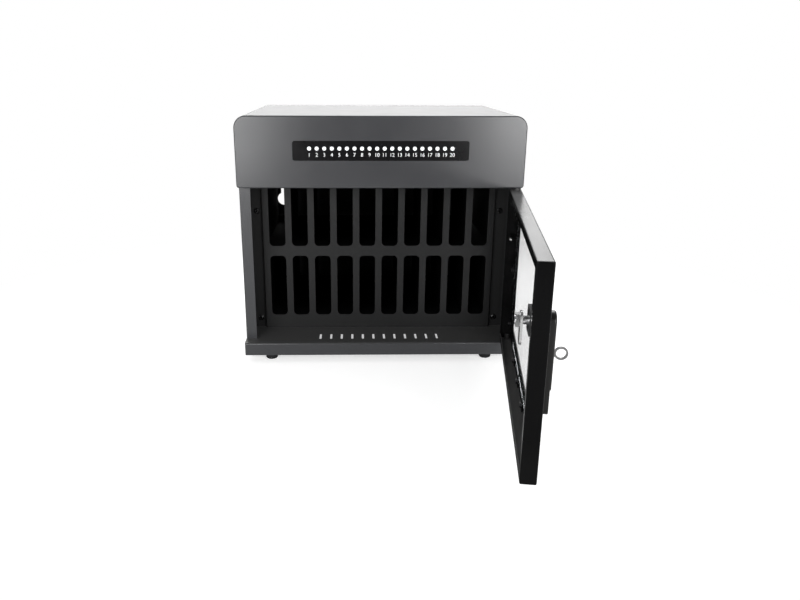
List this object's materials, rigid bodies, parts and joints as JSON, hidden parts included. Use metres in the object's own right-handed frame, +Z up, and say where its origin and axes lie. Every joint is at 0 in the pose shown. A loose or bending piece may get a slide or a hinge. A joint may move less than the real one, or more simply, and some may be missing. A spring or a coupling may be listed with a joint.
{
  "type": "device charging cabinet",
  "caption": "Steel charging cabinet with a hinged window door, rows of upright device slots, a status light strip on its head, charging sockets, mains inlet, fan and quarter-turn lock.",
  "frame": {"origin": "on the floor plane under the feet, at the middle of the case's footprint", "axes": "+Z up, the front with the door faces -Y, +X to the right seen from the front"},
  "size_m": [0.3829, 0.6285, 0.341],
  "materials": {
    "case_paint": "satin charcoal paint",
    "rack_paint": "satin dark grey paint",
    "door_paint": "satin black paint",
    "strip_black": "gloss black strip",
    "light_lens": "milky light lens",
    "board_green": "solder mask",
    "black_plastic": "moulded black plastic",
    "bush_nylon": "black nylon",
    "rocker_plastic": "moulded black rocker",
    "socket_steel": "plated socket shell",
    "supply_metal": "plain sheet",
    "foot_rubber": "moulded black rubber",
    "fastener_steel": "zinc plated",
    "contact_brass": "plain brass",
    "window_clear": "clear acrylic sheet",
    "grip_metal": "black coated casting",
    "lock_chrome": "polished plating",
    "cam_steel": "zinc plated steel"
  },
  "bodies": {
    "cabinet": {"base_tray": "case_paint", "left_side": "case_paint", "right_side": "case_paint", "back_panel": "case_paint", "head_cover": "case_paint", "head_back": "case_paint", "slot_plate": "rack_paint", "left_rail": "rack_paint", "right_rail": "rack_paint", "lower_shelf": "rack_paint", "upper_shelf": "rack_paint", "lower_dividers": "rack_paint", "upper_dividers": "rack_paint", "left_cheek": "rack_paint", "right_cheek": "rack_paint", "status_strip": "strip_black", "status_lights": "light_lens", "light_board": "board_green", "charger_board": "board_green", "socket_panel": "black_plastic", "inlet_socket": "black_plastic", "switch_body": "black_plastic", "fan_frame": "black_plastic", "charging_sockets": "socket_steel", "power_supply": "supply_metal", "feet": "foot_rubber", "ear_screws": "fastener_steel", "back_screws": "fastener_steel", "upper_hinge_pin": "fastener_steel", "lower_hinge_pin": "fastener_steel", "inlet_contacts": "contact_brass"},
    "door": {"door_pan": "door_paint", "window_pane": "window_clear", "window_studs": "fastener_steel", "window_clips": "door_paint", "window_nuts": "fastener_steel", "earth_stud": "door_paint", "earth_nut": "fastener_steel", "upper_hinge_bush": "bush_nylon", "lower_hinge_bush": "bush_nylon", "grip_bar": "grip_metal", "lock_housing": "black_plastic"},
    "latch": {"turn_knob": "lock_chrome", "lock_cam": "cam_steel", "cam_nut": "cam_steel"},
    "key_plug": {"lock_plug": "lock_chrome", "key": "lock_chrome"},
    "fan": {"fan_rotor": "black_plastic"},
    "rocker": {"switch_rocker": "rocker_plastic"}
  },
  "joints": [
    {"name": "door_hinge", "type": "hinge", "parent": "cabinet", "child": "door", "pos_m": [0.1815, -0.128, 0], "axis": [0, 0, 1], "range_deg": [-81.5, 93.5]},
    {"name": "latch_turn", "type": "hinge", "parent": "door", "child": "latch", "pos_m": [0.13132, -0.46377, 0.1835], "axis": [-0.989, 0.1478, 0], "range_deg": [0, 90]},
    {"name": "key_turn", "type": "hinge", "parent": "door", "child": "key_plug", "pos_m": [0.13132, -0.46377, 0.153], "axis": [-0.989, 0.1478, 0], "range_deg": [0, 90]},
    {"name": "fan_spin", "type": "hinge", "parent": "cabinet", "child": "fan", "pos_m": [0.18, 0.082, 0.293], "axis": [1, 0, 0], "continuous": true},
    {"name": "switch_rock", "type": "hinge", "parent": "cabinet", "child": "rocker", "pos_m": [-0.188, 0.048, 0.278], "axis": [0, 0, 1], "range_deg": [-18, 0]}
  ]
}
